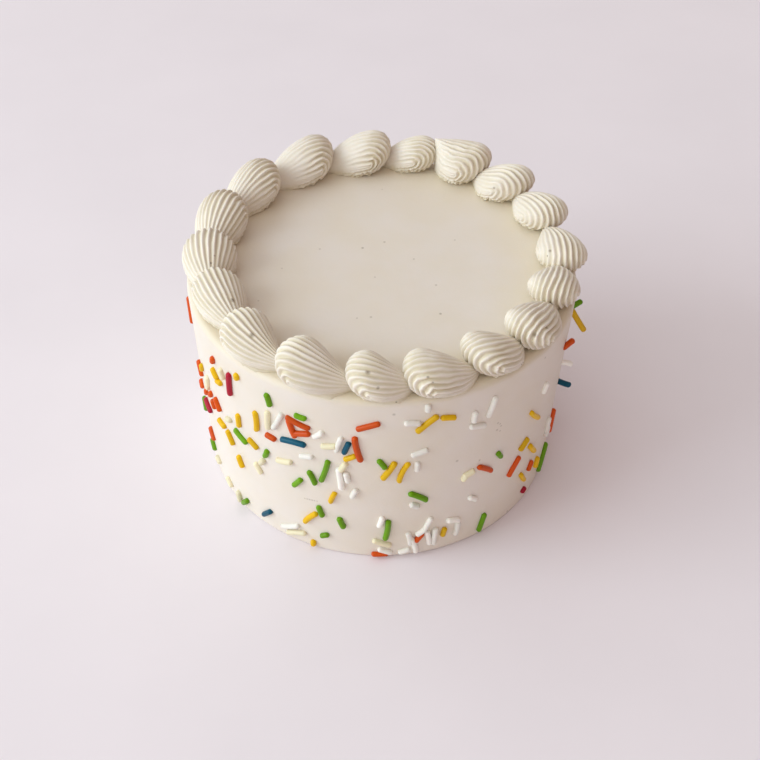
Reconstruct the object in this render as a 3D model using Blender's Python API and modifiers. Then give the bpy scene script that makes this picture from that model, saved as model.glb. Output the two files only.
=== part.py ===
"""Bento cake: a small round frosted cake, with a ring of piped shells on its rim and sprinkles on its side.

Metres, +Z up. The origin is the middle of the flat base, and the front faces -Y. A bearing is an angle
about +Z from +X, counter-clockwise seen from above. A piped shell starts with its wide head, and its tail
runs counter-clockwise under the next head. The last tail ends in a peak over the first head.
"""
import math
import random

import bmesh
import bpy
from mathutils import Matrix, Vector

MM = 0.001

# The cake
BASE_RADIUS = 56.4 * MM
TOP_RADIUS = 59.6 * MM
CAKE_HEIGHT = 70.5 * MM
RIM_ROUNDING = 2.0 * MM
FOOT_ROUNDING = 1.2 * MM
TURN_STEPS = 48
ARC_STEPS = 3

# The piped shells: start bearing in degrees; half width, height and middle radius in mm;
# turn of the tail in degrees, and how sharply the tail narrows
SHELLS = (
    (71.0, 6.3, 11.2, 55.3, 0, 1.4),
    (87.5, 8.3, 12.2, 54.3, 3, 1.3),
    (108.0, 8.8, 12.2, 55.2, -4, 1.3),
    (131.0, 8.0, 12.5, 53.7, 0, 1.3),
    (153.0, 8.2, 12.7, 52.8, 0, 1.2),
    (174.0, 8.4, 12.0, 52.2, 0, 1.2),
    (193.0, 7.7, 10.5, 51.6, -2, 1.2),
    (216.0, 8.1, 10.6, 53.3, 8, 1.9),
    (239.0, 8.8, 12.0, 54.4, 4, 1.9),
    (259.5, 8.3, 10.4, 53.8, 9, 1.7),
    (276.5, 8.9, 10.4, 54.0, 4, 1.5),
    (296.5, 8.5, 10.6, 53.0, 8, 1.4),
    (314.5, 8.3, 11.8, 53.9, -4, 1.3),
    (335.5, 7.9, 11.2, 53.0, 0, 1.3),
    (354.5, 7.7, 9.8, 55.0, -2, 1.3),
    (377.0, 8.0, 10.2, 55.7, -2, 1.3),
    (396.0, 8.6, 11.2, 55.7, -8, 1.3),
    (413.0, 8.4, 12.5, 55.7, -5, 0.8),
)
LAST_TIP = 432.5
OVERLAP = 6.0
LAST_DROP = 0.05
HEAD_REACH = 7.5 * MM
HEAD_LEAN = 0.35
RISE = 0.42
TAIL_NARROWING = 2.0
TAIL_DROP = 1.8
RIM_REACH = 59.2 * MM
RIDGES = 13
RIDGE_DEPTH = 0.075
HEAD_ROWS = 5
TAIL_ROWS = 2
OUTLINE_COLUMNS = 12
GAP = 0.3 * MM
OUTLINE_GROWTH = 0.45 * MM

# The sprinkles
SPRINKLE_RADIUS = 0.95 * MM
SPRINKLE_SIDES = 6
STAND_OUT = 0.35 * MM
SUNK_END = 1.3 * MM
BASE_CLEARANCE = 0.2 * MM
FLAT_ANGLE = math.radians(0.2)
# Those that show most in front: bearing in degrees, height in mm, tilt in degrees from level, length in mm
PLACED = {
    "green": (
        (199.5, 10.5, 140, 4.5), (193, 23, 88, 6.5), (222, 4, 52, 5), (224.5, 37, 156, 6.3),
        (235, 37, 70, 4), (238, 62, 102, 5), (245.5, 30, 56, 5.5), (248, 60, 175, 4), (250.5, 34.5, 110, 6),
        (254.5, 39, 76, 10.5), (252.5, 19.5, 106, 5), (253.5, 8, 32, 3.4), (259, 16, 108, 5),
        (271, 45, 120, 4.5), (273, 14, 85, 9.5), (282, 29, 142, 7.5), (305, 6, 78, 8), (308.2, 36.2, 120, 3.6),
        (339.5, 8, 57, 10.5),
    ),
    "yellow": (
        (202, 47.5, 79, 3.2), (214.5, 56, 133, 4), (216.5, 54, 14, 3.4), (214, 34, 175, 4.5),
        (218.5, 31.5, 120, 5.5), (222.5, 24, 109, 4.8), (224.5, 44, 89, 5.7), (226.5, 64, 93, 2.6),
        (230, 38, 151, 4.6), (232.5, 49.5, 89, 8.5), (249.5, 2, 90, 2.6), (249, 15, 55, 7.8),
        (256.5, 27.5, 72, 5.5), (262, 47, 35, 4.5), (273, 42, 64, 8.5), (277, 41, 72, 9),
        (283, 61, 44, 8.5), (289, 62, 165, 5), (291, 9, 80, 4), (319.5, 32.5, 38, 5),
        (325.5, 25.5, 125, 7.5), (323, 42.5, 130, 9), (332, 13, 80, 4.5), (322.5, 14.5, 120, 6.5),
    ),
    "orange": (
        (186, 57, 97, 10), (199, 44.5, 126, 5.5), (194.5, 33.5, 158, 3.5), (200.5, 16.5, 147, 5),
        (203, 38, 71, 3), (208, 41.5, 60, 3), (209.5, 38.5, 120, 3.5), (213, 41.5, 121, 5),
        (214.5, 61.5, 76, 3), (237.5, 46, 174, 4), (245, 54, 105, 7.5), (247, 57, 165, 8), (248, 53, 20, 6),
        (264, 51, 100, 10.5), (267, 61, 25, 7.5), (271, 2, 5, 5.5), (283, 9, 60, 4.5), (303.3, 33, 138, 7.6),
        (316, 25, 55, 7.8), (326.5, 16.5, 65, 4), (345, 20, 80, 9.5),
    ),
    "crimson": ((202.5, 31.5, 168, 6), (222.5, 58, 85, 9.7), (325, 6, 30, 2.5)),
    "blue": ((245, 48, 8, 8.6), (261, 51, 72, 5.5), (232.5, 7, 50, 6)),
    "white": (
        (240.5, 54.5, 66, 9), (253, 54.5, 45, 4.5), (249, 43.5, 16, 4.8), (258.8, 52, 76, 7),
        (259, 37, 95, 9.5), (261, 38, 100, 4.5), (263, 31, 70, 4.5), (283, 67.5, 90, 3), (279, 62, 172, 5),
        (281.5, 49, 20, 5.5), (281, 43, 90, 4), (281, 25, 150, 3.5), (271, 18, 78, 5), (272.5, 3.5, 155, 5),
        (280, 9, 100, 6), (281.5, 5.5, 105, 8), (283.5, 11.5, 40, 4), (285.5, 15, 70, 6), (286, 8, 100, 7),
        (288, 8, 88, 8), (278.5, 3, 20, 4), (294, 13.5, 160, 5), (295.5, 9, 85, 6.5), (302.5, 60.5, 76, 8),
        (297, 59, 88, 4.5), (298.5, 54.5, 162, 6), (300, 21, 140, 4), (338, 22, 60, 4), (337, 26, 80, 6),
        (326.5, 51.5, 60, 4), (241.5, 6.5, 32, 8),
    ),
    "cream": (
        (206.5, 45, 77, 7), (219, 59.5, 108, 4), (219, 40, 22, 3.2), (237, 53, 87, 8), (241.5, 37.5, 18, 6),
        (231, 27.5, 123, 4.5), (233, 32, 60, 3.5), (256, 50.5, 15, 5), (260, 42.5, 65, 4.5),
        (296.2, 33, 60, 3.2), (297.5, 34, 15, 4.2), (271.5, 7.5, 155, 6.5), (218.5, 3.5, 98, 4.8),
        (212.5, 5, 145, 4), (204, 7.5, 169, 3.5), (243.5, 4.5, 26, 8),
    ),
}
# Those that stand off the side on the right: the same, and the angle by which the upper end lifts off
STANDING = {
    "green": ((352, 64, 30, 4, 50),),
    "yellow": ((352, 57.5, 95, 10, -32),),
    "orange": ((341, 57.5, 70, 4.8, 35),),
    "blue": ((348, 34.5, 172, 5.3, 75),),
    "white": ((345, 46, 140, 5.5, -40),),
}
# The others, on the back
SEED = 11
BACK_COUNT = 49
BACK_ARC = (-7.0, 187.0)
BAND = (4.0, 60.0)
LENGTHS = (3.0, 8.0)
CLEARANCE = 3.0
LOW_BIAS = 1.3
BACK_MIX = ("white", "white", "cream", "cream", "green", "green", "yellow", "yellow", "yellow",
            "orange", "orange", "orange", "crimson", "blue")

FROSTING_COLOUR = (0.76, 0.72, 0.63, 1.0)
PIPING_COLOUR = (0.80, 0.77, 0.69, 1.0)
ROUGHNESS = 0.5
WELD = 1e-6


def clear_scene():
    for item in list(bpy.data.objects):
        bpy.data.objects.remove(item)


def new_collection(name):
    collection = bpy.data.collections.new(name)
    bpy.context.scene.collection.children.link(collection)
    return collection


def buttercream(name, colour):
    material = bpy.data.materials.new(name)
    material.use_nodes = True
    shader = material.node_tree.nodes["Principled BSDF"]
    shader.inputs["Base Color"].default_value = colour
    shader.inputs["Roughness"].default_value = ROUGHNESS
    shader.inputs["Metallic"].default_value = 0.0
    return material


def add_object(name, mesh, collection, material=None):
    item = bpy.data.objects.new(name, mesh)
    collection.objects.link(item)
    if material:
        mesh.materials.append(material)
    return item


def side_radius(height):
    """Radius of the flared side at a height."""
    return BASE_RADIUS + (TOP_RADIUS - BASE_RADIUS) * height / CAKE_HEIGHT


def cake_profile():
    """Half outline in XZ: from the top's centre out, over the round rim, down the side and in to the axis."""
    points = [(0.0, CAKE_HEIGHT)]
    for k in range(ARC_STEPS + 1):
        turn = math.pi / 2 * k / ARC_STEPS
        points.append((TOP_RADIUS - RIM_ROUNDING * (1 - math.sin(turn)),
                       CAKE_HEIGHT - RIM_ROUNDING * (1 - math.cos(turn))))
    for k in range(ARC_STEPS + 1):
        turn = math.pi / 2 * k / ARC_STEPS
        points.append((BASE_RADIUS - FOOT_ROUNDING * (1 - math.cos(turn)),
                       FOOT_ROUNDING * (1 - math.sin(turn))))
    points.append((0.0, 0.0))
    return points


def turned_body(collection, material):
    """The frosted cake, a profile turned about Z."""
    points = cake_profile()
    mesh = bpy.data.meshes.new("cake")
    mesh.from_pydata([(x, 0.0, z) for x, z in points], [(k, k + 1) for k in range(len(points) - 1)], [])
    body = add_object("cake", mesh, collection, material)
    screw = body.modifiers.new("turn", "SCREW")
    screw.axis = "Z"
    screw.angle = math.tau
    screw.steps = TURN_STEPS
    screw.render_steps = TURN_STEPS
    screw.use_merge_vertices = True
    screw.merge_threshold = WELD
    return body


def scattered(rows, draw):
    """Adds rows for the back by a seeded rule: even round it, denser low down, clear of the rows so far."""
    added = 0
    while added < BACK_COUNT:
        bearing = draw.uniform(*BACK_ARC)
        height = BAND[0] + (BAND[1] - BAND[0]) * draw.random() ** LOW_BIAS
        tilt = draw.uniform(0, 180)
        length = draw.uniform(*LENGTHS)
        near = min(math.hypot(((bearing - row[1] + 180) % 360 - 180), height - row[2]) for row in rows)
        if near < CLEARANCE:
            continue
        rows.append((draw.choice(BACK_MIX), bearing, height, tilt, length, 0))
        added += 1


def sprinkle_rows():
    """Colour, bearing, height, tilt, length and lift of every sprinkle."""
    rows = [(colour, *row, 0) for colour, group in PLACED.items() for row in group]
    rows += [(colour, *row) for colour, group in STANDING.items() for row in group]
    scattered(rows, random.Random(SEED))
    return rows


def sprinkle(row, collection):
    """A short six-sided rod, half sunk in the side, with an edge of it outermost, or standing on one end."""
    colour, bearing, height, tilt, length, lift = row
    bm = bmesh.new()
    half = length * MM / 2
    bmesh.ops.create_cone(bm, cap_ends=True, segments=SPRINKLE_SIDES, radius1=SPRINKLE_RADIUS,
                          radius2=SPRINKLE_RADIUS, depth=length * MM)
    mesh = bpy.data.meshes.new(colour)
    bm.to_mesh(mesh)
    bm.free()
    item = add_object(f"sprinkle_{colour}", mesh, collection)
    lean = math.radians(tilt)
    turn = math.radians(bearing)
    rising = math.radians(lift)
    low = max(height * MM, half * abs(math.sin(lean)) + SPRINKLE_RADIUS + BASE_CLEARANCE)
    outward = Vector((math.cos(turn), math.sin(turn), 0))
    across = Vector((-math.sin(turn), math.cos(turn), 0))
    flare = math.atan2(TOP_RADIUS - BASE_RADIUS, CAKE_HEIGHT)
    upward = Vector((0, 0, math.cos(flare))) + outward * math.sin(flare)
    normal = across.cross(upward)
    flat = across * math.cos(lean) + upward * math.sin(lean)
    axis = flat * math.cos(rising) + normal * math.sin(rising)
    out = normal * math.cos(rising) - flat * math.sin(rising)
    item.location = (outward * (side_radius(low) + STAND_OUT + (half - SUNK_END) * abs(math.sin(rising)))
                     + Vector((0, 0, low)))
    item.rotation_euler = Matrix((out, axis.cross(out), axis)).transposed().to_euler()


def fuse_sprinkles(body, collection):
    """One union of the body with all the sprinkles, applied, so that they are one solid."""
    union = body.modifiers.new("sprinkles", "BOOLEAN")
    union.operation = "UNION"
    union.operand_type = "COLLECTION"
    union.collection = collection
    union.solver = "MANIFOLD"
    graph = bpy.context.evaluated_depsgraph_get()
    fused = bpy.data.meshes.new_from_object(body.evaluated_get(graph))
    merge_flat_faces(fused)
    body.modifiers.clear()
    body.data = fused
    for item in list(collection.objects):
        bpy.data.objects.remove(item)
    bpy.data.collections.remove(collection)


def merge_flat_faces(mesh):
    """Joins the flat neighbours that the union left as triangles."""
    bm = bmesh.new()
    bm.from_mesh(mesh)
    bmesh.ops.dissolve_limit(bm, angle_limit=FLAT_ANGLE, verts=bm.verts, edges=bm.edges)
    bm.to_mesh(mesh)
    bm.free()


def arch(columns, depth):
    """Half a turn of unit points, every second one drawn in by depth."""
    sizes = [1 - depth * (k % 2 == 0) for k in range(columns + 1)]
    angles = [math.pi * k / columns for k in range(columns + 1)]
    return [(size * math.cos(angle), size * math.sin(angle)) for size, angle in zip(sizes, angles)]


def shell_sections(half, height, pinch, tail, drop, grow):
    """Rows of points (along, across, up) from the tail's tip under the head, round it and back along the top.

    Each row is an arch over the angle u from the outer to the inner side. In the head the arch swings about
    the crosswise axis through its centre, which is RISE of the height up. In the tail it narrows and comes
    down. A ridge keeps its angle u all the way. Between ridges the arch is drawn in by RIDGE_DEPTH of its
    size, and this fades out along the tail.
    """
    columns = OUTLINE_COLUMNS if grow else 2 * RIDGES
    rise = RISE * height
    cap = height - rise + grow
    half = half + grow
    reach = HEAD_REACH + grow
    depth = 0.0 if grow else RIDGE_DEPTH
    tail_rows = []
    for k in range(1, TAIL_ROWS + 1):
        f = k / TAIL_ROWS
        width = half * (1 - f ** TAIL_NARROWING) ** pinch
        top = (height + grow) * (1 - drop * f ** TAIL_DROP)
        middle = rise * (1 - drop * f)
        slant = HEAD_LEAN * (1 - f) * (top - middle)
        tail_rows.append((tail * f, middle, width, top - middle, slant, arch(columns, depth * (1 - f))))
    under = [[(x + slant * s, width * c, middle - tall * s) for c, s in points]
             for x, middle, width, tall, slant, points in reversed(tail_rows)]
    over = [[(x - slant * s, width * c, middle + tall * s) for c, s in points]
            for x, middle, width, tall, slant, points in tail_rows]
    head = []
    points = arch(columns, depth)
    for k in range(HEAD_ROWS + 1):
        swing = math.pi * (k / HEAD_ROWS - 0.5)
        forward = reach * math.cos(swing) + HEAD_LEAN * cap * math.sin(swing)
        head.append([(-forward * s, half * c, rise + cap * math.sin(swing) * s) for c, s in points])
    return under + head + over


def shell_mesh(name, row, tip, drop, grow=0.0):
    """One piped shell, bent round the cake's axis: its X runs along the rim to the tail, its Y to the axis.

    The turn of the tail fades out towards its tip. Below the middle, what reaches past the rim is drawn back
    to it, by the square of the depth. An outline is larger all round by grow.
    """
    start, half, height, radius, turn, pinch = row
    half, height, radius = half * MM, height * MM, radius * MM
    front = math.hypot(HEAD_REACH, HEAD_LEAN * height * (1 - RISE))
    tail = math.radians(tip - start) * radius - front + grow
    sections = shell_sections(half, height, pinch, tail, drop, grow)
    slope = math.tan(math.radians(turn))
    rim = RIM_REACH + grow
    points = []
    for section in sections:
        middle = section[0][2]
        for along, across, up in section:
            f = min(max(along / tail, 0), 1)
            below = min(max((middle - up) / max(middle, MM), 0), 1) ** 2
            reach = radius + across + slope * along * (1 - f ** 2)
            if reach > rim:
                reach = rim + (reach - rim) * (1 - below)
            points.append((reach * math.sin(along / radius), radius - reach * math.cos(along / radius), up))
    wide = len(sections[0])
    faces = [(a + b, a + wide + b, a + wide + b + 1, a + b + 1)
             for a in range(0, wide * (len(sections) - 1), wide) for b in range(wide - 1)]
    mesh = bpy.data.meshes.new(name)
    mesh.from_pydata(points, [], faces)
    bm = bmesh.new()
    bm.from_mesh(mesh)
    bmesh.ops.remove_doubles(bm, verts=bm.verts, dist=WELD)
    if not grow:
        flatten_base(bm)
    bm.to_mesh(mesh)
    bm.free()
    return mesh, math.radians(start) + front / radius


def flatten_base(bm):
    """Cuts the shell off flat, a gap above the cake's top, and closes the cut."""
    geometry = list(bm.verts) + list(bm.edges) + list(bm.faces)
    bmesh.ops.bisect_plane(bm, geom=geometry, dist=WELD, clear_outer=True,
                           plane_co=(0, 0, GAP), plane_no=(0, 0, -1))
    rim = [edge for edge in bm.edges if edge.is_boundary]
    for face in bmesh.ops.contextual_create(bm, geom=rim)["faces"]:
        face.normal_update()
        if face.normal.z > 0:
            face.normal_flip()


def piped_shell(name, row, tip, drop, collection, material=None, grow=0.0):
    mesh, bearing = shell_mesh(name, row, tip, drop, grow)
    item = add_object(name, mesh, collection, material)
    radius = row[3] * MM
    item.location = (radius * math.cos(bearing), radius * math.sin(bearing), CAKE_HEIGHT)
    item.rotation_euler.z = bearing + math.pi / 2
    return item


def ring_of_shells(parts, cutters, material):
    """Every shell, each cut by the smooth outline of the one piped over it."""
    last = len(SHELLS) - 1
    shells = []
    outlines = []
    for k, row in enumerate(SHELLS):
        tip = LAST_TIP if k == last else SHELLS[k + 1][0] + OVERLAP
        drop = LAST_DROP if k == last else 1.0
        shells.append(piped_shell(f"shell_{k + 1:02d}", row, tip, drop, parts, material))
        outline = piped_shell(f"outline_{k + 1:02d}", row, tip, drop, cutters, grow=OUTLINE_GROWTH)
        outline.hide_render = True
        outline.display_type = "WIRE"
        outlines.append(outline)
    for k in range(last):
        cut_by(shells[k], outlines[k + 1])
    cut_by(shells[0], outlines[last])


def cut_by(item, cutter):
    cut = item.modifiers.new(cutter.name, "BOOLEAN")
    cut.operation = "DIFFERENCE"
    cut.object = cutter


def main():
    clear_scene()
    parts = new_collection("bento_cake")
    cutters = new_collection("cutters")
    loose = new_collection("sprinkles")
    body = turned_body(parts, buttercream("frosting", FROSTING_COLOUR))
    for row in sprinkle_rows():
        sprinkle(row, loose)
    fuse_sprinkles(body, loose)
    ring_of_shells(parts, cutters, buttercream("piping", PIPING_COLOUR))


main()
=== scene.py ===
"""Bento cake: smoothed buttercream, piped shells with fine ridges round its rim, and sprinkles on its side.

Metres, +Z up. The origin is the middle of the flat base, and the front faces -Y. A bearing is an angle
about +Z from +X, counter-clockwise seen from above. A piped shell starts with its wide head, and its tail
runs counter-clockwise under the next head. The last tail ends in a peak over the first head.
"""
import math
import random

import bmesh
import bpy
import numpy as np
from mathutils import Matrix, Vector


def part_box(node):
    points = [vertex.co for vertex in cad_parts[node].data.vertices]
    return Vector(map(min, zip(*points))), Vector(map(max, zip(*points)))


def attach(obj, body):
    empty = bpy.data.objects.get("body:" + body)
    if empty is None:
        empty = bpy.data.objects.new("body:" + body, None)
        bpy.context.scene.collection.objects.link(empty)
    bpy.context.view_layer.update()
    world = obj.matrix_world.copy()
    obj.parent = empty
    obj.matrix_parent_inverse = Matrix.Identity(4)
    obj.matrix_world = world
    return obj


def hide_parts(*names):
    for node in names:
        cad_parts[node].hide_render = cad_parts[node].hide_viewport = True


bl_info = {
    "name": "Bento cake",
    "version": (1, 0, 0),
    "blender": (4, 5, 0),
    "location": "View3D > Sidebar > Bento cake",
    "description": "Frosted body, piped shells and sprinkles of a small round cake",
    "category": "Object",
}

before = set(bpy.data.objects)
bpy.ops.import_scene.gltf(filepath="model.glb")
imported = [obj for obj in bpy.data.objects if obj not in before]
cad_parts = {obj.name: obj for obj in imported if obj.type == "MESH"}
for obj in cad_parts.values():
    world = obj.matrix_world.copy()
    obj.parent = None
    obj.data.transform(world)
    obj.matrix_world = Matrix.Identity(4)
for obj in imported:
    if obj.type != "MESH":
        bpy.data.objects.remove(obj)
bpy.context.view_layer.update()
CAKE_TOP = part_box("cake")[1][2]

MM = 0.001

# The piped shells: start bearing in degrees; half width, height and middle radius in mm;
# turn of the tail in degrees, and how sharply the tail narrows
SHELLS = (
    (71.0, 6.3, 11.2, 55.3, 0, 1.4),
    (87.5, 8.3, 12.2, 54.3, 3, 1.3),
    (108.0, 8.8, 12.2, 55.2, -4, 1.3),
    (131.0, 8.0, 12.5, 53.7, 0, 1.3),
    (153.0, 8.2, 12.7, 52.8, 0, 1.2),
    (174.0, 8.4, 12.0, 52.2, 0, 1.2),
    (193.0, 7.7, 10.5, 51.6, -2, 1.2),
    (216.0, 8.1, 10.6, 53.3, 8, 1.9),
    (239.0, 8.8, 12.0, 54.4, 4, 1.9),
    (259.5, 8.3, 10.4, 53.8, 9, 1.7),
    (276.5, 8.9, 10.4, 54.0, 4, 1.5),
    (296.5, 8.5, 10.6, 53.0, 8, 1.4),
    (314.5, 8.3, 11.8, 53.9, -4, 1.3),
    (335.5, 7.9, 11.2, 53.0, 0, 1.3),
    (354.5, 7.7, 9.8, 55.0, -2, 1.3),
    (377.0, 8.0, 10.2, 55.7, -2, 1.3),
    (396.0, 8.6, 11.2, 55.7, -8, 1.3),
    (413.0, 8.4, 12.5, 55.7, -5, 0.8),
)
# The tails' ends: bearing of the last, how far the others run past the next start, both in degrees, and
# how much of its height the last comes down
LAST_TIP = 432.5
OVERLAP = 6.0
LAST_DROP = 0.05
# The form: how far a head leans over, how high up a section's middle is as a share of its height, and how
# late the tail narrows and comes down
HEAD_LEAN = 0.35
RISE = 0.42
TAIL_NARROWING = 2.0
TAIL_DROP = 1.8
# How far out a shell's foot may reach
RIM_REACH = 59.2 * MM

# How each shell came out of the nozzle: waviness of its ridges, their depth, how early the tail turns smooth,
# and how much shallower the ridges are on the inner side
FINISH = (
    (0.20, 1.1, 2.5, 0.0), (0.30, 1.3, 3.0, 0.0), (0.22, 1.2, 3.0, 0.0), (0.14, 1.1, 1.5, 0.0),
    (0.08, 1.0, 0.6, 0.0), (0.08, 1.0, 0.6, 0.0), (0.08, 0.9, 0.5, 0.0), (0.10, 1.0, 0.5, 0.0),
    (0.12, 1.0, 0.7, 0.0), (0.15, 1.0, 0.7, 0.0), (0.30, 1.1, 0.6, 0.1), (0.25, 1.1, 0.7, 0.2),
    (0.25, 1.2, 0.6, 0.4), (0.15, 1.2, 0.5, 0.6), (0.12, 1.2, 0.5, 0.7), (0.15, 1.3, 0.8, 0.7),
    (0.20, 1.3, 1.0, 0.6), (0.25, 1.3, 0.7, 0.4),
)
# The inner side, from where to where across a section
INNER_SIDE = (0.45, 0.85)
# Waves of an uneven field: count along its first parameter, count along its second, and weight
RIDGE_WAVES = ((1, 0.9, 1), (2, 1.7, 0.7), (3, 2.6, 0.5), (2, 5.3, 0.2))
DEPTH_WAVES = ((1, 0.7, 1), (3, 1.9, 1))
SWELL_WAVES = ((1, 0.8, 1), (2, 2.3, 0.6))
FOOT_WAVES = ((9, 5, 1), (5, 9, 1), (13, 3, 0.7))
STROKE_WAVES = ((1, 0.6, 1), (2, 1.3, 0.8), (3, 0.8, 0.8), (5, 1.9, 0.5), (7, 1.1, 0.5), (11, 2.6, 0.3),
                (0, 3.1, 0.5))
# How much the ridges' depth varies and how far a shell swells, both as shares
DEPTH_CHANGE = 0.3
SWELL = 0.012
# Over how much of a section's arch the ridges and their waviness set in
RIDGE_END = 0.1
WAVE_END = 0.3

# Burst air bubbles in the piping, and specks, nicks and a scratch in the frosting: bearing in degrees;
# radius, height and width in mm
PIPING_PITS = (
    (210.9, 49.9, 77.7, 1.5), (229.8, 55.6, 79.3, 1.6), (266.7, 57.6, 80.1, 1.5), (269.5, 60.5, 77.1, 1.0),
    (282.5, 59.7, 79.4, 0.9), (283.5, 61.2, 78.4, 0.8), (317.3, 58.8, 78.9, 1.5), (321.3, 59.8, 79.4, 0.9),
    (358.8, 50.6, 78.5, 1.0), (42.4, 48.0, 77.5, 0.9), (190.5, 51.7, 78.2, 0.8),
)
FROSTING_MARKS = (
    (87.1, 12.4, 70.4, 0.9), (22.6, 10.6, 70.4, 0.7), (333.2, 18.4, 70.4, 0.8), (157.0, 21.1, 70.4, 0.7),
    (247.7, 5.5, 70.4, 0.6), (262.8, 23.8, 70.4, 0.8), (253.7, 25.2, 70.4, 0.6), (31.7, 26.7, 70.4, 0.6),
    (273.9, 59.4, 65.8, 1.0), (293.2, 58.3, 41.4, 1.0), (247.4, 57.4, 23.0, 0.6), (248.2, 57.4, 23.1, 0.7),
    (249.0, 57.4, 23.2, 0.8), (249.8, 57.4, 23.3, 0.8), (250.6, 57.4, 23.4, 0.7), (251.4, 57.4, 23.5, 0.6),
    (306.0, 58.7, 51.3, 0.8), (306.9, 58.7, 50.4, 0.7), (307.4, 58.6, 49.2, 0.7), (306.0, 58.6, 48.3, 0.9),
    (307.3, 58.5, 47.1, 0.7),
)
# A crumpled foot: how high it reaches, how far it is crumpled and how much deeper its valleys are
CRUMPLE_HEIGHT = 4.0 * MM
CRUMPLE = 0.10
FOOT_VALLEY = 0.06
# Painted yellow shade on the frosting round the shells' feet, where they shade it: from where to where
# outward and up the side, and how strong it is
SHADE_RING = (34 * MM, 54 * MM, 68.3 * MM, 70.3 * MM)
SHADE_RING_STRENGTH = 0.6
# The same painted shade on the feet themselves, and how high it reaches
FOOT_SHADE = 0.7
FOOT_SHADE_HEIGHT = 2.5 * MM
# How much of the shade colour the faint patches take as their own uneven tone, and the colour that darkens a
# burst bubble, a nick or a speck: painted shade in a hollow, a dark speck's own colour
PATCH_TINT = 0.3
SPECK_AND_PIT_SHADE = "#8a7c66"
# The spatula's strokes: their length down the side and how soon they fade towards an edge
STROKE_LENGTH = 10 * MM
STROKE_FADE = 8 * MM
# Its straight sweeps over the top: direction, width, bend, direction of the bend and its length
SWEEPS = ((0.8, 0.35, 4.2 * MM, 1.4, 0, 1, 17 * MM), (0.3, -1.0, 9.0 * MM, 1.1, 1, 0, 23 * MM))
# How much of the waviness the side's strokes, the top's strokes and a sweep take
SIDE_SHARE = 0.5
TOP_SHARE = 0.4
SWEEP_SHARE = 0.12

# Steps of the surfaces: across a ridge, round a head, along a tail, round the body, out over its top, down
# its side, in a rounded edge, at the base, and round a sprinkle, over its end and along it
RIDGE_STEPS = 12
HEAD_STEPS = 60
TAIL_STEPS = 40
BODY_COLUMNS = 360
TOP_STEPS = 44
SIDE_STEPS = 64
ARC_STEPS = 8
BASE_STEPS = 3
ROD_SIDES = 14
ROD_END_STEPS = 5
ROD_STEPS = 7

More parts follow.
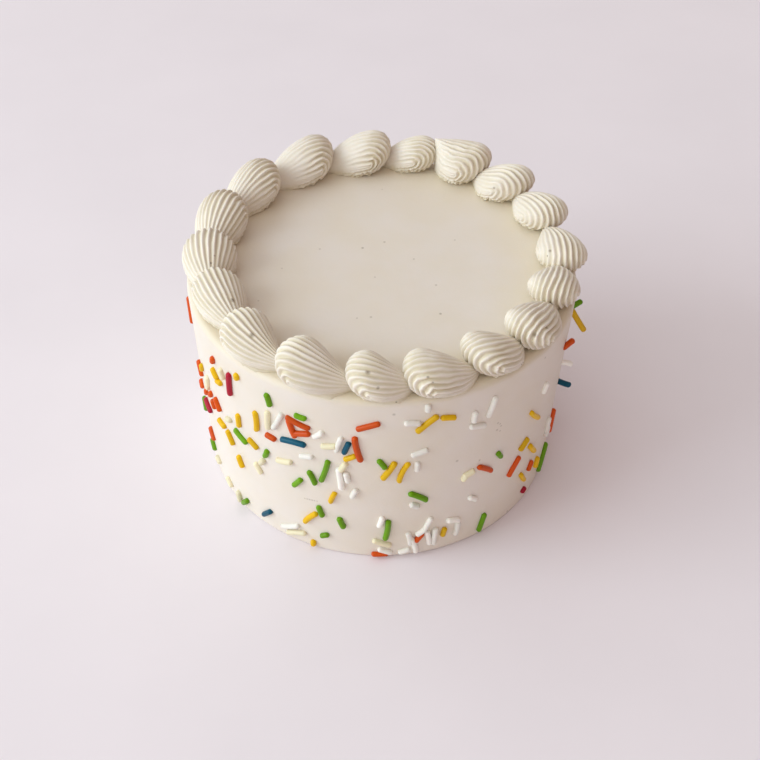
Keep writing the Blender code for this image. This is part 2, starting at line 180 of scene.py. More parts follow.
# The sprinkles that show most in front: bearing in degrees, height in mm, tilt in degrees from level,
# and length in mm
PLACED = {
    "green": (
        (199.5, 10.5, 140, 4.5), (193, 23, 88, 6.5), (222, 4, 52, 5), (224.5, 37, 156, 6.3),
        (235, 37, 70, 4), (238, 62, 102, 5), (245.5, 30, 56, 5.5), (248, 60, 175, 4), (250.5, 34.5, 110, 6),
        (254.5, 39, 76, 10.5), (252.5, 19.5, 106, 5), (253.5, 8, 32, 3.4), (259, 16, 108, 5),
        (271, 45, 120, 4.5), (273, 14, 85, 9.5), (282, 29, 142, 7.5), (305, 6, 78, 8),
        (308.2, 36.2, 120, 3.6), (339.5, 8, 57, 10.5),
    ),
    "yellow": (
        (202, 47.5, 79, 3.2), (214.5, 56, 133, 4), (216.5, 54, 14, 3.4), (214, 34, 175, 4.5),
        (218.5, 31.5, 120, 5.5), (222.5, 24, 109, 4.8), (224.5, 44, 89, 5.7), (226.5, 64, 93, 2.6),
        (230, 38, 151, 4.6), (232.5, 49.5, 89, 8.5), (249.5, 2, 90, 2.6), (249, 15, 55, 7.8),
        (256.5, 27.5, 72, 5.5), (262, 47, 35, 4.5), (273, 42, 64, 8.5), (277, 41, 72, 9),
        (283, 61, 44, 8.5), (289, 62, 165, 5), (291, 9, 80, 4), (319.5, 32.5, 38, 5),
        (325.5, 25.5, 125, 7.5), (323, 42.5, 130, 9), (332, 13, 80, 4.5), (322.5, 14.5, 120, 6.5),
    ),
    "orange": (
        (186, 57, 97, 10), (199, 44.5, 126, 5.5), (194.5, 33.5, 158, 3.5), (200.5, 16.5, 147, 5),
        (203, 38, 71, 3), (208, 41.5, 60, 3), (209.5, 38.5, 120, 3.5), (213, 41.5, 121, 5),
        (214.5, 61.5, 76, 3), (237.5, 46, 174, 4), (245, 54, 105, 7.5), (247, 57, 165, 8), (248, 53, 20, 6),
        (264, 51, 100, 10.5), (267, 61, 25, 7.5), (271, 2, 5, 5.5), (283, 9, 60, 4.5), (303.3, 33, 138, 7.6),
        (316, 25, 55, 7.8), (326.5, 16.5, 65, 4), (345, 20, 80, 9.5),
    ),
    "crimson": ((202.5, 31.5, 168, 6), (222.5, 58, 85, 9.7), (325, 6, 30, 2.5)),
    "blue": ((245, 48, 8, 8.6), (261, 51, 72, 5.5), (232.5, 7, 50, 6)),
    "white": (
        (240.5, 54.5, 66, 9), (253, 54.5, 45, 4.5), (249, 43.5, 16, 4.8), (258.8, 52, 76, 7),
        (259, 37, 95, 9.5), (261, 38, 100, 4.5), (263, 31, 70, 4.5), (283, 67.5, 90, 3), (279, 62, 172, 5),
        (281.5, 49, 20, 5.5), (281, 43, 90, 4), (281, 25, 150, 3.5), (271, 18, 78, 5), (272.5, 3.5, 155, 5),
        (280, 9, 100, 6), (281.5, 5.5, 105, 8), (283.5, 11.5, 40, 4), (285.5, 15, 70, 6), (286, 8, 100, 7),
        (288, 8, 88, 8), (278.5, 3, 20, 4), (294, 13.5, 160, 5), (295.5, 9, 85, 6.5), (302.5, 60.5, 76, 8),
        (297, 59, 88, 4.5), (298.5, 54.5, 162, 6), (300, 21, 140, 4), (338, 22, 60, 4), (337, 26, 80, 6),
        (326.5, 51.5, 60, 4), (241.5, 6.5, 32, 8),
    ),
    "cream": (
        (206.5, 45, 77, 7), (219, 59.5, 108, 4), (219, 40, 22, 3.2), (237, 53, 87, 8), (241.5, 37.5, 18, 6),
        (231, 27.5, 123, 4.5), (233, 32, 60, 3.5), (256, 50.5, 15, 5), (260, 42.5, 65, 4.5),
        (296.2, 33, 60, 3.2), (297.5, 34, 15, 4.2), (271.5, 7.5, 155, 6.5), (218.5, 3.5, 98, 4.8),
        (212.5, 5, 145, 4), (204, 7.5, 169, 3.5), (243.5, 4.5, 26, 8),
    ),
}
# Those that stand off the side on the right: the same, and the angle by which the upper end lifts off
STANDING = {
    "green": ((352, 64, 30, 4, 50),),
    "yellow": ((352, 57.5, 95, 10, -32),),
    "orange": ((341, 57.5, 70, 4.8, 35),),
    "blue": ((348, 34.5, 172, 5.3, 75),),
    "white": ((345, 46, 140, 5.5, -40),),
}
# The sprinkles on the back: seed, count, bearings in degrees, heights, lengths and clearance in mm, and how
# far the lower heights are favoured
SEED = 11
BACK_COUNT = 49
BACK_ARC = (-7.0, 187.0)
BAND = (4.0, 60.0)
LENGTHS = (3.0, 8.0)
CLEARANCE = 3.0
LOW_BIAS = 1.3
BACK_MIX = ("white", "white", "cream", "cream", "green", "green", "yellow", "yellow", "yellow",
            "orange", "orange", "orange", "crimson", "blue")
# How far the lowest stay above the base, and how deep a standing one is pressed in
BASE_CLEARANCE = 0.2 * MM
SUNK_END = 1.3 * MM
# A sprinkle's bend as a share of its length, where it crosses its straight line, and as shares of its
# radius the length of its rounded end and its thinnest and thickest
BEND = 0.03
BEND_MIDDLE = 0.4
END_LENGTH = 0.8
THICKNESSES = (0.9, 1.04)
# How much of a sprinkle's change in tone is its fine speckle
SPECKLE = 0.25

# Where the seeds of the drawn fields and tones start
STROKE_SEED = 3
WAVE_SEEDS = (100, 200, 300, 400)
SHAPE_SEED = 40
TONE_SEED = 60

# The camera of the photograph: its picture is square, and its turn is about the line of sight
PICTURE_SIDE = 760
FOCAL_PIXELS = 1323.53
SENSOR = 36.0
NEAR_LIMIT = 10 * MM
CAMERA_TILT = math.radians(43.563)
CAMERA_ROLL = math.radians(1.021)
CAMERA_DISTANCE = 438.5 * MM
LOOK_AT = Vector((0.0, 0.0, 22.53 * MM))
# The room is lightest on the left and in front, where its windows are, and warmest on the right
ROOM_SLOPE = (-0.72, -0.1, 0.0)
# From where to 1 the light's direction along X turns from the cool colour to the warm one
COOL_END = -0.45
# The window's middle, the point that it faces, and its width and height, all in metres
WINDOW_PLACE = Vector((-1.3, -0.4, 0.72))
WINDOW_AIM = Vector((0.0, 0.0, 0.03))
WINDOW_SIZE = (1.0, 0.8)
# Half the floor's side in metres
FLOOR_REACH = 3.0


def linear(hexcode, alpha=True):
    """Linear RGBA of an sRGB hex colour."""
    channels = [int(hexcode[k:k + 2], 16) / 255 for k in (1, 3, 5)]
    values = [c / 12.92 if c <= 0.04045 else ((c + 0.055) / 1.055) ** 2.4 for c in channels]
    return (*values, 1.0) if alpha else tuple(values)


def length_property(name, text, millimetres):
    """A size that a user can change, given in millimetres and kept in metres."""
    return bpy.props.FloatProperty(name=name, description=text, default=millimetres * MM, unit="LENGTH")


def colour_property(name, text, hexcode):
    """A colour that a user can change, given as an sRGB hex value."""
    return bpy.props.FloatVectorProperty(name=name, description=text, default=linear(hexcode, False),
                                         subtype="COLOR", size=3, min=0.0, max=1.0)


class BentoCakeBody(bpy.types.PropertyGroup):
    """Sizes and colours of the frosted body."""
    base_radius: length_property("Base radius", "Radius of the side where it meets the base", 56.4)
    top_radius: length_property("Top radius", "Radius of the side where it meets the rim", 59.6)
    height: length_property("Height", "Height of the flat top", CAKE_TOP / MM)
    rim_rounding: length_property("Rim rounding", "Radius of the rounded rim", 2.0)
    foot_rounding: length_property("Foot rounding", "Radius of the rounded foot", 1.2)
    waviness: length_property("Waviness", "How far the spatula left the frosting uneven", 0.12)
    colour: colour_property("Frosting", "Buttercream of the top and side", "#e6ddd2")
    # The frosting shade colours the faint patches, the frosting's own uneven tone, and the painted yellow
    # shade round the shells' feet
    shade: colour_property("Frosting shade", "Thinner, yellower buttercream", "#dfd2b6")


class BentoCakePiping(bpy.types.PropertyGroup):
    """Sizes and colours of the piped shells."""
    ridges: bpy.props.IntProperty(
        name="Ridges", description="Ridges from side to side of a shell", default=13, min=3)
    depth: bpy.props.FloatProperty(
        name="Ridge depth", description="Depth of a valley as a share of the section",
        default=0.09, min=0.0, max=0.3, subtype="FACTOR")
    head_reach: length_property("Head reach", "How far a head bulges ahead of its widest section", 7.5)
    colour: colour_property("Piping", "Buttercream of the shells", "#ebe3d8")
    # The piping shade is painted shade in the shells' valleys and at their feet, and the colour of their
    # faint patches
    shade: colour_property("Piping shade", "Valleys and feet of the shells", "#d8cdb3")


class BentoCakeSprinkles(bpy.types.PropertyGroup):
    """Sizes and colours of the sprinkles."""
    radius: length_property("Sprinkle radius", "Half the thickness of a sprinkle", 0.95)
    stand_out: length_property("Stand out", "How far a sprinkle's middle stands out of the side", 0.35)
    green: colour_property("Green", "Green sprinkles", "#669803")
    yellow: colour_property("Yellow", "Yellow sprinkles", "#deb109")
    orange: colour_property("Orange", "Orange-red sprinkles", "#cd4e07")
    crimson: colour_property("Crimson", "Crimson sprinkles", "#a50f2c")
    blue: colour_property("Blue", "Blue sprinkles", "#025067")
    white: colour_property("White", "White sprinkles", "#efebe2")
    cream: colour_property("Cream", "Cream sprinkles", "#e8dfbd")


class BentoCakeStage(bpy.types.PropertyGroup):
    """Colours and strengths of the stage."""
    floor: colour_property("Floor", "Pale paper under the cake", "#efe8ec")
    daylight: colour_property("Daylight", "Colour of the soft light from the left", "#e9f7ff")
    room: colour_property("Room", "Colour of the light from the left half of the room", "#fbffff")
    warm_room: colour_property("Warm room", "Colour of the light from the right half", "#ffd7cc")
    window_power: bpy.props.FloatProperty(
        name="Window", description="Power of the large soft light in watts", default=12.0, min=0.0,
        unit="POWER")
    room_strength: bpy.props.FloatProperty(
        name="Room strength", description="Strength of the light all round", default=0.74, min=0.0)


def add_node(tree, kind, settings=None, inputs=None):
    """Adds a node, sets its properties, and links or fills its inputs."""
    node = tree.nodes.new(kind)
    for name, value in (settings or {}).items():
        setattr(node, name, value)
    for name, value in (inputs or {}).items():
        if isinstance(value, bpy.types.NodeSocket):
            tree.links.new(value, node.inputs[name])
        else:
            node.inputs[name].default_value = value
    return node


def new_material(name):
    """An empty material and its shader, linked to the output."""
    material = bpy.data.materials.new(name)
    material.use_nodes = True
    tree = material.node_tree
    tree.nodes.clear()
    shader = add_node(tree, "ShaderNodeBsdfPrincipled")
    output = add_node(tree, "ShaderNodeOutputMaterial")
    tree.links.new(shader.outputs["BSDF"], output.inputs["Surface"])
    return material, tree, shader


def marked(tree, place, rows):
    """How far a point lies inside one of the marks: 1 in its middle, 0 outside it."""
    deepest = None
    for bearing, radius, height, width in rows:
        turn = math.radians(bearing)
        centre = (radius * MM * math.cos(turn), radius * MM * math.sin(turn), height * MM)
        away = add_node(tree, "ShaderNodeVectorMath", {"operation": "DISTANCE"}, {0: place, 1: centre})
        inside = add_node(tree, "ShaderNodeMapRange", {}, {
            "Value": away.outputs["Value"], "From Min": 0.0, "From Max": 0.65 * width * MM,
            "To Min": 1.0, "To Max": 0.0})
        if deepest is None:
            deepest = inside
        else:
            deepest = add_node(tree, "ShaderNodeMath", {"operation": "MAXIMUM"}, {
                0: deepest.outputs[0], 1: inside.outputs["Result"]})
    return deepest.outputs[0]


def buttercream(name, colour, shade, blotch, grain, pinholes, marks, speck_and_pit_shade_strength):
    """Buttercream: butter beaten with sugar, so pale, softly satin, and a little see-through where it lies
    shallow.

    blotch is the size of its faint patches, grain that of its finest unevenness and pinholes the spacing of
    its finest air bubbles, all in metres. marks are the larger bubbles, nicks and specks, each in its own
    place, and speck_and_pit_shade_strength, from 0 to 1, is how much darker they and the finest bubbles are
    painted: painted shade in a bubble or a nick, a dark speck's own colour.
    """
    material, tree, shader = new_material(name)
    place = add_node(tree, "ShaderNodeTexCoord").outputs["Object"]
    patches = add_node(tree, "ShaderNodeTexNoise", {}, {"Vector": place, "Scale": 1 / blotch, "Detail": 3.0})
    fine = add_node(tree, "ShaderNodeTexNoise", {}, {"Vector": place, "Scale": 1 / grain, "Detail": 2.0})
    bubbles = add_node(tree, "ShaderNodeTexVoronoi", {"feature": "F1"}, {
        "Vector": place, "Scale": 1 / pinholes})
    # A bubble is a tenth of the spacing wide, and only one cell in ten has one
    hole = add_node(tree, "ShaderNodeMapRange", {}, {
        "Value": bubbles.outputs["Distance"], "From Min": 0.04, "From Max": 0.09,
        "To Min": 1.0, "To Max": 0.0})
    chosen = add_node(tree, "ShaderNodeSeparateColor", {}, {"Color": bubbles.outputs["Color"]})
    few = add_node(tree, "ShaderNodeMath", {"operation": "GREATER_THAN"}, {0: chosen.outputs["Red"], 1: 0.9})
    bubble = add_node(tree, "ShaderNodeMath", {"operation": "MULTIPLY"}, {
        0: hole.outputs["Result"], 1: few.outputs[0]})
    pit = add_node(tree, "ShaderNodeMath", {"operation": "MAXIMUM"}, {
        0: bubble.outputs[0], 1: marked(tree, place, marks)})
    speck_and_pit_shading = add_node(tree, "ShaderNodeMath", {"operation": "MULTIPLY"}, {0: pit.outputs[0], 1: speck_and_pit_shade_strength})
    cover = add_node(tree, "ShaderNodeMapRange", {}, {
        "Value": patches.outputs["Fac"], "From Min": 0.35, "From Max": 0.65})
    # The attribute tone on buttercream is painted shade in and round the piping; with the faint patches' own
    # tone it draws the colour towards the shade colour
    painted_shade = add_node(tree, "ShaderNodeAttribute", {"attribute_name": "tone"})
    patches_and_painted_shade = add_node(tree, "ShaderNodeMath", {"operation": "MULTIPLY_ADD", "use_clamp": True}, {
        0: cover.outputs["Result"], 1: PATCH_TINT, 2: painted_shade.outputs["Fac"]})
    tone = add_node(tree, "ShaderNodeMix", {"data_type": "RGBA"}, {
        "Factor": patches_and_painted_shade.outputs[0], 6: (*colour, 1.0), 7: (*shade, 1.0)})
    # Bubbles, nicks and specks painted darker: painted shade in a hollow, a dark speck's own colour
    dark = add_node(tree, "ShaderNodeMix", {"data_type": "RGBA", "blend_type": "MULTIPLY"}, {
        "Factor": speck_and_pit_shading.outputs[0], 6: tone.outputs[2], 7: linear(SPECK_AND_PIT_SHADE)})
    relief = add_node(tree, "ShaderNodeMath", {"operation": "SUBTRACT"}, {
        0: fine.outputs["Fac"], 1: pit.outputs[0]})
    bump = add_node(tree, "ShaderNodeBump", {}, {
        "Height": relief.outputs[0], "Strength": 0.12, "Distance": 0.3 * MM})
    tree.links.new(dark.outputs[2], shader.inputs["Base Color"])
    tree.links.new(bump.outputs["Normal"], shader.inputs["Normal"])
    shader.inputs["Roughness"].default_value = 0.48
    shader.inputs["IOR"].default_value = 1.45
    shader.inputs["Subsurface Weight"].default_value = 0.2
    shader.inputs["Subsurface Radius"].default_value = (1.0, 0.8, 0.6)
    shader.inputs["Subsurface Scale"].default_value = 0.5 * MM
    return material


def sugar_paste(name, colour):
    """Pressed sugar paste with a fine wax glaze: a clean even colour, smooth, with a soft shine."""
    material, tree, shader = new_material(name)
    place = add_node(tree, "ShaderNodeTexCoord").outputs["Object"]
    tone = add_node(tree, "ShaderNodeAttribute", {"attribute_name": "tone"})
    speckle = add_node(tree, "ShaderNodeTexNoise", {}, {
        "Vector": place, "Scale": 1 / (1.2 * MM), "Detail": 2.0})
    amount = add_node(tree, "ShaderNodeMath", {"operation": "MULTIPLY_ADD"}, {
        0: speckle.outputs["Fac"], 1: SPECKLE, 2: tone.outputs["Fac"]})
    value = add_node(tree, "ShaderNodeMapRange", {}, {
        "Value": amount.outputs[0], "From Min": 0.0, "From Max": 1 + SPECKLE, "To Min": 0.86, "To Max": 1.14})
    mixed = add_node(tree, "ShaderNodeHueSaturation", {}, {
        "Color": (*colour, 1.0), "Value": value.outputs["Result"]})
    bump = add_node(tree, "ShaderNodeBump", {}, {
        "Height": speckle.outputs["Fac"], "Strength": 0.15, "Distance": 0.1 * MM})
    tree.links.new(mixed.outputs["Color"], shader.inputs["Base Color"])
    tree.links.new(bump.outputs["Normal"], shader.inputs["Normal"])
    shader.inputs["Roughness"].default_value = 0.38
    shader.inputs["IOR"].default_value = 1.48
    shader.inputs["Specular IOR Level"].default_value = 0.25
    shader.inputs["Subsurface Weight"].default_value = 0.05
    shader.inputs["Subsurface Scale"].default_value = 0.5 * MM
    return material


def paper(name, colour):
    """Matt paper backdrop, with the faintest mottling of its pulp."""
    material, tree, shader = new_material(name)
    place = add_node(tree, "ShaderNodeTexCoord").outputs["Object"]
    pulp = add_node(tree, "ShaderNodeTexNoise", {}, {"Vector": place, "Scale": 1 / (60 * MM), "Detail": 4.0})
    tone = add_node(tree, "ShaderNodeMapRange", {}, {
        "Value": pulp.outputs["Fac"], "From Min": 0.3, "From Max": 0.7, "To Min": 0.985, "To Max": 1.015})
    mixed = add_node(tree, "ShaderNodeHueSaturation", {}, {
        "Color": (*colour, 1.0), "Value": tone.outputs["Result"]})
    tree.links.new(mixed.outputs["Color"], shader.inputs["Base Color"])
    shader.inputs["Roughness"].default_value = 0.85
    shader.inputs["Specular IOR Level"].default_value = 0.2
    return material


def grid_faces(rows, columns, wrap):
    """Corner numbers of the quads between neighbouring points; wrap joins the last column to the first."""
    wide = columns if wrap else columns - 1
    a, b = np.meshgrid(np.arange(rows - 1), np.arange(wide), indexing="ij")
    c = (b + 1) % columns
    near = a * columns
    far = near + columns
    return np.stack([near + b, far + b, far + c, near + c], axis=-1).reshape(-1, 4)


def skin(name, points, faces, material, tones=None):
    """A smooth closed mesh object through the points, welded where its rows or columns meet.

    tones holds a number for each point, which the material reads as the attribute tone: painted shade on
    buttercream, a sprinkle's own tone on sugar paste.
    """
    mesh = bpy.data.meshes.new(name)
    mesh.from_pydata(points.reshape(-1, 3).tolist(), [], faces.tolist())
    if tones is not None:
        layer = mesh.attributes.new("tone", "FLOAT", "POINT")
        layer.data.foreach_set("value", tones.ravel().astype(np.float32))
    bm = bmesh.new()
    bm.from_mesh(mesh)
    bmesh.ops.remove_doubles(bm, verts=bm.verts, dist=1e-6)
    bm.to_mesh(mesh)
    bm.free()
    mesh.shade_smooth()
    mesh.materials.append(material)
    item = bpy.data.objects.new(name, mesh)
    bpy.context.scene.collection.objects.link(item)
    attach(item, "root")
    return item


def uneven(first, second, seed, waves):
    """A smooth uneven field in -1..1: a sum of waves in two parameters, with drawn phases and directions.

    waves holds (count along the first parameter, count along the second, weight). The first is an angle, so
    its counts are whole numbers and the field closes on itself.
    """
    draw = np.random.default_rng(seed)
    total = np.zeros(np.broadcast(first, second).shape)
    for across, along, weight in waves:
        phase, sign = draw.uniform(0, 2 * np.pi), draw.choice((-1, 1))
        total += weight * np.sin(across * first + sign * along * second + phase)
    return total / sum(wave[2] for wave in waves)


def steps(first, last, count):
    """Even steps from first to last, without the last."""
    return np.linspace(first, last, count + 1)[:-1]


def body_profile(sizes):
    """Radius and height of the outline, from the top's middle over the rim, down the side and to the axis.

    The top is level, the rim and the foot are quarter circles, and the side is straight and flared.
    """
    rim, foot = sizes.rim_rounding, sizes.foot_rounding
    out = steps(0, 1, TOP_STEPS) * (sizes.top_radius - rim)
    top = np.stack([out, np.full_like(out, sizes.height)], -1)
    turn = steps(0, np.pi / 2, ARC_STEPS)
    away, along = 1 - np.sin(turn), 1 - np.cos(turn)
    edge = np.stack([sizes.top_radius - rim * away, sizes.height - rim * along], -1)
    fall = steps(1, 0, SIDE_STEPS)
    flare = sizes.top_radius - sizes.base_radius
    side = np.stack([sizes.base_radius + flare * fall, foot + (sizes.height - rim - foot) * fall], -1)
    bottom = np.stack([sizes.base_radius - foot * along, foot * away], -1)
    inner = np.linspace(1, 0, BASE_STEPS + 1)
    base = np.stack([inner * (sizes.base_radius - foot), 0 * inner], -1)
    return np.concatenate([top, edge, side, bottom, base])


def body_points(sizes):
    """The outline turned about Z, then drawn in along its own normal by an uneven field.

    The field is broad strokes round the side, and on the top straight strokes as well. It fades at the rim,
    the foot and the base, which stay true.
    """
    outline = body_profile(sizes)
    bearing = steps(0, 2 * np.pi, BODY_COLUMNS)[None, :]
    radius, height = outline[:, :1], outline[:, 1:]
    run = np.concatenate([[0], np.cumsum(np.hypot(*np.diff(outline, axis=0).T))])[:, None]
    strokes = uneven(bearing, run / STROKE_LENGTH, STROKE_SEED, STROKE_WAVES)
    side = np.clip((height - sizes.foot_rounding) / STROKE_FADE, 0, 1) * (radius > sizes.base_radius)
    top = np.clip((sizes.top_radius - sizes.rim_rounding - radius) / STROKE_FADE, 0, 1)
    top = top * (height >= sizes.height)
    x, y = radius * np.cos(bearing), radius * np.sin(bearing)
    sweep = sum(np.sin((x * over + y * up) / width + bend * np.sin((x * bend_over + y * bend_up) / length))
                for over, up, width, bend, bend_over, bend_up, length in SWEEPS)
    drawn_in = sizes.waviness * SIDE_SHARE * (1 + strokes) * side
    level = np.clip(radius / STROKE_FADE, 0, 1)
    deep = TOP_SHARE * (1 + strokes * level) + SWEEP_SHARE * (len(SWEEPS) + sweep)
    lowered = sizes.waviness * deep * top
    reach = radius - drawn_in
    return np.stack([reach * np.cos(bearing), reach * np.sin(bearing), height - lowered + 0 * bearing], -1)


def shell_points(index, sizes, top):
    """Grid of points (rows, columns, 3) of one piped shell on the rim.

    A section is an arch over the angle u from the outer to the inner side, round a middle that is RISE of
    the height up. The rows come back under the tail from its tip, swing round the head about the crosswise
    axis through that middle, and run out along the tail, where the section narrows and comes down. A ridge
    keeps its angle u all the way. The arch is drawn in between ridges by a share of its size, as the cosine
    of the ridge count, and this fades out along the tail. Near the foot the valleys are deeper and the edge
    is crumpled by a finer uneven field. Below its middle, by the square of the depth, what reaches past the
    rim is drawn back to it. Painted shade for the valleys and the foot, 0 to 1, comes with the points.
    """
    start, half, height, radius, turn, pinch = SHELLS[index]
    waves, deep, smooth, shallow = FINISH[index]
    half, height, radius = half * MM, height * MM, radius * MM
    last = index == len(SHELLS) - 1
    tip = LAST_TIP if last else SHELLS[index + 1][0] + OVERLAP
    drop = LAST_DROP if last else 1.0
    front = math.hypot(sizes.head_reach, HEAD_LEAN * height * (1 - RISE))
    tail = math.radians(tip - start) * radius - front
    along = np.concatenate([steps(1, 0, TAIL_STEPS), np.zeros(HEAD_STEPS), steps(0, 1, TAIL_STEPS), [1.0]])
    quarter = np.pi / 2
    swing = np.concatenate([np.full(TAIL_STEPS, -quarter), steps(-quarter, quarter, HEAD_STEPS),
                            np.full(TAIL_STEPS + 1, quarter)])
    f, swing = along[:, None], swing[:, None]
    path = swing / np.pi + f * np.sign(swing)
    u = np.linspace(0, np.pi, RIDGE_STEPS * sizes.ridges + 1)[None, :]
    arch = np.sin(u)
    inside = np.clip(arch / RIDGE_END, 0, 1)
    remaining = np.clip(1 - f, 0, 1)
    turned, twice, thrice = 2 * np.pi * path, 2 * u, 3 * u
    ridge_seed, depth_seed, swell_seed, foot_seed = (seed + index for seed in WAVE_SEEDS)
    shift = waves * np.clip(arch / WAVE_END, 0, 1) * uneven(twice, turned, ridge_seed, RIDGE_WAVES)
    valley = 0.5 + 0.5 * np.cos(2 * np.pi * (sizes.ridges * u / np.pi + shift))
    strength = deep * (1 + DEPTH_CHANGE * uneven(thrice, turned, depth_seed, DEPTH_WAVES))
    inward = np.clip((u / np.pi - INNER_SIDE[0]) / (INNER_SIDE[1] - INNER_SIDE[0]), 0, 1)
    fade = remaining ** smooth * inside * (1 - shallow * inward)
    swell = SWELL * arch * uneven(twice, turned, swell_seed, SWELL_WAVES)
    size = 1 - sizes.depth * strength * fade * valley + swell * remaining
    rise = RISE * height
    middle = rise * (1 - drop * f)
    tall = height * (1 - drop * f ** TAIL_DROP) - middle
    width = half * np.clip(1 - f ** TAIL_NARROWING, 0, 1) ** pinch
    upward = tall * np.sin(swing)
    forward = sizes.head_reach * np.cos(swing) + HEAD_LEAN * (1 - f) * upward
    low = np.clip(1 - (middle + upward * arch) / CRUMPLE_HEIGHT, 0, 1) * remaining * inside
    crumple = CRUMPLE * uneven(twice, turned, foot_seed, FOOT_WAVES)
    size = size + low * (0.5 + 0.5 * u / np.pi) * (crumple - FOOT_VALLEY * valley * fade)
    y = width * np.cos(u) * size
    x = tail * f - forward * arch * size
    z = middle + upward * arch * size
    below = np.clip((middle - z) / np.maximum(middle, 1e-6), 0, 1) ** 2
    bearing = math.radians(start) + (front + x) / radius
    reach = radius + y + math.tan(math.radians(turn)) * x * (1 - f ** 2)
    reach = np.where(reach > RIM_REACH, RIM_REACH + (reach - RIM_REACH) * (1 - below), reach)
    # Painted shade, darkest in the ridges' valleys and at the foot
    tint = np.clip(valley * fade + FOOT_SHADE * np.clip(1 - z / FOOT_SHADE_HEIGHT, 0, 1), 0, 1)
    return np.stack([reach * np.cos(bearing), reach * np.sin(bearing), top + z], -1), tint


def scattered(rows, draw):
    """Adds rows for the back by a seeded rule: even round it, denser low down, clear of the rows so far."""
    added = 0
    while added < BACK_COUNT:
        bearing = draw.uniform(*BACK_ARC)
        height = BAND[0] + (BAND[1] - BAND[0]) * draw.random() ** LOW_BIAS
        tilt = draw.uniform(0, 180)
        length = draw.uniform(*LENGTHS)
        near = min(math.hypot(((bearing - row[1] + 180) % 360 - 180), height - row[2]) for row in rows)
        if near < CLEARANCE:
            continue
        rows.append((draw.choice(BACK_MIX), bearing, height, tilt, length, 0))
        added += 1


def sprinkle_rows():
    """Colour, bearing, height, tilt, length and lift of every sprinkle."""
    rows = [(colour, *row, 0) for colour, group in PLACED.items() for row in group]
    rows += [(colour, *row) for colour, group in STANDING.items() for row in group]
    scattered(rows, random.Random(SEED))
    return rows


def sprinkle_points(rows, radius, stand_out, body, seed):
    """Points (sprinkles, rings, sides, 3) of sprinkles lying on the side.

    Each is a round rod along s with ends that are quarter ellipses. It bends a little sideways as the square
    of s, and follows the round side, from which it would otherwise lift off at its ends. One with a lift
    stands on one end.
    """
    bearing, height, tilt, length, lift = (
        np.array([row[k] for row in rows], float)[:, None, None] for k in (1, 2, 3, 4, 5))
    draw = np.random.default_rng(seed)
    half = length * MM / 2
    lean, turn, rising = np.radians(tilt), np.radians(bearing), np.radians(lift)
    low = np.maximum(height * MM, half * np.abs(np.sin(lean)) + radius + BASE_CLEARANCE)
    cap = END_LENGTH * radius
    rise = np.sin(np.linspace(0, np.pi / 2, ROD_END_STEPS + 1))
    near = (1 - np.cos(np.linspace(0, np.pi / 2, ROD_END_STEPS + 1))) * cap
    inside = np.linspace(0, 1, ROD_STEPS + 1)[1:-1]
    ring = np.concatenate([rise, np.ones(len(inside)), rise[::-1]])[None, :, None]
    start = -half + near[None, :, None]
    middle = (-half + cap) + (2 * half - 2 * cap) * inside[None, :, None]
    s = np.concatenate([start, middle, -start[:, ::-1]], axis=1)
    side = steps(0, 2 * np.pi, ROD_SIDES)[None, None, :]
    bend = BEND * draw.standard_normal(half.shape) * 2 * half
    thick = radius * draw.uniform(*THICKNESSES, half.shape)
    across = thick * ring * np.sin(side) + bend * ((s / half) ** 2 - BEND_MIDDLE)
    wall = body.base_radius + (body.top_radius - body.base_radius) * low / body.height
    out = thick * ring * np.cos(side) - (s * np.cos(lean)) ** 2 / (2 * wall) * (lift == 0)
    flare = math.atan2(body.top_radius - body.base_radius, body.height)
    zero = np.zeros_like(turn)
    outward = np.stack([np.cos(turn), np.sin(turn), zero], -1)
    level = np.stack([-np.sin(turn), np.cos(turn), zero], -1)
    upward = outward * math.sin(flare) + np.array((0, 0, math.cos(flare)))
    normal = np.cross(level, upward)
    flat = level * np.cos(lean)[..., None] + upward * np.sin(lean)[..., None]
    axis = flat * np.cos(rising)[..., None] + normal * np.sin(rising)[..., None]
    off = normal * np.cos(rising)[..., None] - flat * np.sin(rising)[..., None]
    sideways = np.cross(axis, off)
    off_side = stand_out + (half - SUNK_END) * np.abs(np.sin(rising))
    centre = outward * (wall + off_side)[..., None] + np.stack([zero, zero, low], -1)
    return centre + axis * s[..., None] + off * out[..., None] + sideways * across[..., None]


class BENTO_OT_frosted_body(bpy.types.Operator):
    """Makes the frosted body with its level top and flared side"""
    bl_idname = "bento.frosted_body"
    bl_label = "Frosted body"

    def execute(self, context):
        sizes = context.scene.bento_body
        points = body_points(sizes)
        # Painted yellow shade over the top's outer ring and the rim, round the shells' feet
        reach = np.hypot(points[..., 0], points[..., 1])
        ring_shade = SHADE_RING_STRENGTH * np.clip((reach - SHADE_RING[0]) / (SHADE_RING[1] - SHADE_RING[0]), 0, 1)
        ring_shade = ring_shade * np.clip((points[..., 2] - SHADE_RING[2]) / (SHADE_RING[3] - SHADE_RING[2]), 0, 1)
        material = buttercream("buttercream_smoothed_with_a_spatula", sizes.colour, sizes.shade,
                               blotch=18 * MM, grain=1.4 * MM, pinholes=6 * MM,
                               marks=FROSTING_MARKS, speck_and_pit_shade_strength=0.5)
        body = skin("frosted_body", points, grid_faces(*points.shape[:2], True), material, ring_shade)
        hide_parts("cake")
        return {"FINISHED"}


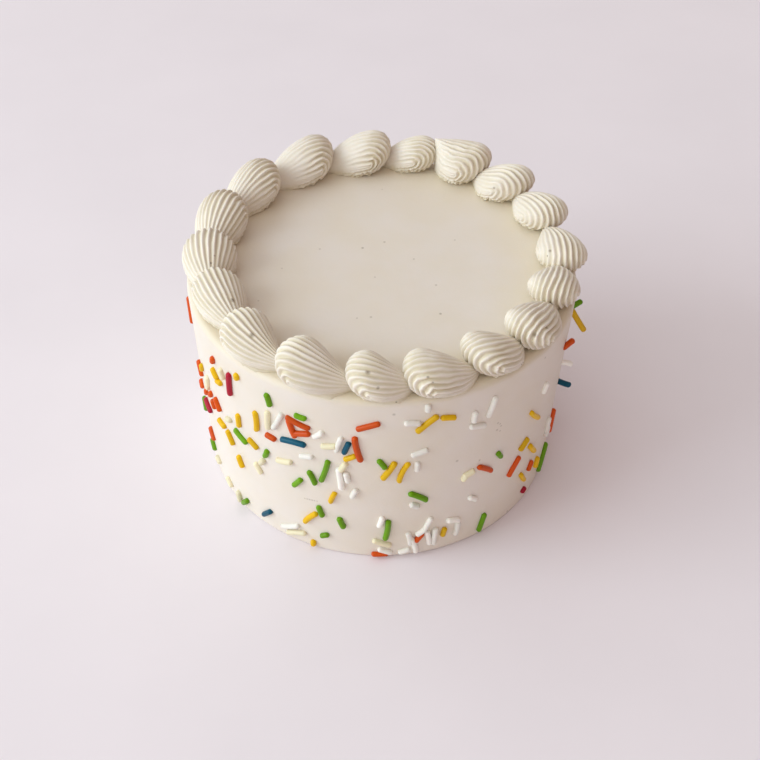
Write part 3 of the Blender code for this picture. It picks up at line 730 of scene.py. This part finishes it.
class BENTO_OT_piped_shells(bpy.types.Operator):
    """Makes the ring of piped shells on the rim"""
    bl_idname = "bento.piped_shells"
    bl_label = "Piped shells"

    def execute(self, context):
        sizes = context.scene.bento_piping
        material = buttercream("buttercream_piped_through_a_star_nozzle", sizes.colour, sizes.shade,
                               blotch=6 * MM, grain=0.8 * MM, pinholes=5 * MM,
                               marks=PIPING_PITS, speck_and_pit_shade_strength=0.9)
        for index in range(len(SHELLS)):
            points, tint = shell_points(index, sizes, context.scene.bento_body.height)
            faces = grid_faces(*points.shape[:2], False)
            shell = skin(f"piped_shell_{index + 1:02d}", points, faces, material, tint)
            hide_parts(f"shell_{index + 1:02d}")
        return {"FINISHED"}


class BENTO_OT_sprinkles(bpy.types.Operator):
    """Makes the sprinkles, one piece for each colour"""
    bl_idname = "bento.sprinkles"
    bl_label = "Sprinkles"

    def execute(self, context):
        sizes = context.scene.bento_sprinkles
        rows = sprinkle_rows()
        for number, colour in enumerate(dict.fromkeys(row[0] for row in rows)):
            chosen = [row for row in rows if row[0] == colour]
            points = sprinkle_points(chosen, sizes.radius, sizes.stand_out, context.scene.bento_body,
                                     SHAPE_SEED + number)
            count, rings, sides = points.shape[:3]
            single = grid_faces(rings, sides, True)[:, ::-1]
            faces = (single[None] + (np.arange(count) * rings * sides)[:, None, None]).reshape(-1, 4)
            draw = np.random.default_rng(TONE_SEED + number)
            tones = np.repeat(draw.uniform(0, 1, count), rings * sides)
            material = sugar_paste(f"sugar_paste_{colour}", getattr(sizes, colour))
            piece = skin(f"sprinkles_{colour}", points, faces, material, tones)
            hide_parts("cake")
        return {"FINISHED"}


class BENTO_OT_stage(bpy.types.Operator):
    """Makes the paper floor, the soft light from the left and the camera"""
    bl_idname = "bento.stage"
    bl_label = "Stage"

    def execute(self, context):
        sizes = context.scene.bento_stage
        self.floor(sizes)
        self.light(sizes)
        self.camera(context.scene)
        context.scene.view_settings.view_transform = "Standard"
        return {"FINISHED"}

    def floor(self, sizes):
        """A level sheet, wide enough to fill the view from any side."""
        side = np.array((-FLOOR_REACH, FLOOR_REACH))
        x, y = np.meshgrid(side, side)
        mesh = bpy.data.meshes.new("floor")
        mesh.from_pydata(np.stack([x, y, 0 * x], -1).reshape(-1, 3).tolist(), [], [(0, 1, 3, 2)])
        mesh.materials.append(paper("matt_paper", sizes.floor))
        floor = bpy.data.objects.new("floor", mesh)
        bpy.context.scene.collection.objects.link(floor)

    def light(self, sizes):
        """One large window on the left, a little in front, and a room that is lighter and cooler there."""
        window = bpy.data.lights.new("window", "AREA")
        window.shape = "RECTANGLE"
        window.size, window.size_y = WINDOW_SIZE
        window.energy = sizes.window_power
        window.color = sizes.daylight
        item = bpy.data.objects.new("window", window)
        item.location = WINDOW_PLACE
        item.rotation_euler = (WINDOW_AIM - WINDOW_PLACE).to_track_quat("-Z", "Y").to_euler()
        bpy.context.scene.collection.objects.link(item)
        world = bpy.data.worlds.new("room")
        world.use_nodes = True
        tree = world.node_tree
        way = add_node(tree, "ShaderNodeTexCoord").outputs["Generated"]
        slope = add_node(tree, "ShaderNodeVectorMath", {"operation": "DOT_PRODUCT"}, {0: way, 1: ROOM_SLOPE})
        share = add_node(tree, "ShaderNodeMath", {"operation": "ADD"}, {0: slope.outputs["Value"], 1: 1.0})
        strength = add_node(tree, "ShaderNodeMath", {"operation": "MULTIPLY"}, {
            0: share.outputs[0], 1: sizes.room_strength})
        sides = add_node(tree, "ShaderNodeSeparateXYZ", {}, {0: way})
        right = add_node(tree, "ShaderNodeMapRange", {}, {
            "Value": sides.outputs["X"], "From Min": COOL_END})
        tint = add_node(tree, "ShaderNodeMix", {"data_type": "RGBA"}, {
            "Factor": right.outputs["Result"], 6: (*sizes.room, 1.0), 7: (*sizes.warm_room, 1.0)})
        background = tree.nodes["Background"]
        tree.links.new(tint.outputs[2], background.inputs["Color"])
        tree.links.new(strength.outputs[0], background.inputs["Strength"])
        bpy.context.scene.world = world

    def camera(self, scene):
        """Looks at a point on the cake's axis, with a slight turn about the line of sight."""
        lens = bpy.data.cameras.new("camera")
        lens.sensor_width = SENSOR
        lens.lens = SENSOR * FOCAL_PIXELS / PICTURE_SIDE
        lens.clip_start = NEAR_LIMIT
        back = Vector((0.0, -math.cos(CAMERA_TILT), math.sin(CAMERA_TILT)))
        right = Vector((1.0, 0.0, 0.0))
        up = back.cross(right)
        turned = right * math.cos(CAMERA_ROLL) + up * math.sin(CAMERA_ROLL)
        camera = bpy.data.objects.new("camera", lens)
        camera.location = LOOK_AT + back * CAMERA_DISTANCE
        camera.rotation_euler = Matrix((turned, back.cross(turned), back)).transposed().to_euler()
        scene.collection.objects.link(camera)
        scene.camera = camera


class BENTO_PT_panel(bpy.types.Panel):
    """Lists the sizes and the steps that make the cake"""
    bl_label = "Bento cake"
    bl_idname = "BENTO_PT_panel"
    bl_space_type = "VIEW_3D"
    bl_region_type = "UI"
    bl_category = "Bento cake"

    def draw(self, context):
        for group, operator in STEPS:
            box = self.layout.box()
            settings = getattr(context.scene, group)
            for name in settings.bl_rna.properties.keys():
                if name not in {"rna_type", "name"}:
                    box.prop(settings, name)
            box.operator(operator)


GROUPS = {
    "bento_body": BentoCakeBody,
    "bento_piping": BentoCakePiping,
    "bento_sprinkles": BentoCakeSprinkles,
    "bento_stage": BentoCakeStage,
}
STEPS = (
    ("bento_stage", "bento.stage"),
    ("bento_body", "bento.frosted_body"),
    ("bento_piping", "bento.piped_shells"),
    ("bento_sprinkles", "bento.sprinkles"),
)
CLASSES = (BENTO_OT_stage, BENTO_OT_frosted_body, BENTO_OT_piped_shells, BENTO_OT_sprinkles, BENTO_PT_panel)


def register():
    for name, group in GROUPS.items():
        bpy.utils.register_class(group)
        setattr(bpy.types.Scene, name, bpy.props.PointerProperty(type=group))
    for kind in CLASSES:
        bpy.utils.register_class(kind)


def unregister():
    for kind in reversed(CLASSES):
        bpy.utils.unregister_class(kind)
    for name, group in GROUPS.items():
        delattr(bpy.types.Scene, name)
        bpy.utils.unregister_class(group)


def main():
    register()
    bpy.ops.bento.stage()
    bpy.ops.bento.frosted_body()
    bpy.ops.bento.piped_shells()
    bpy.ops.bento.sprinkles()


if __name__ == "__main__":
    main()
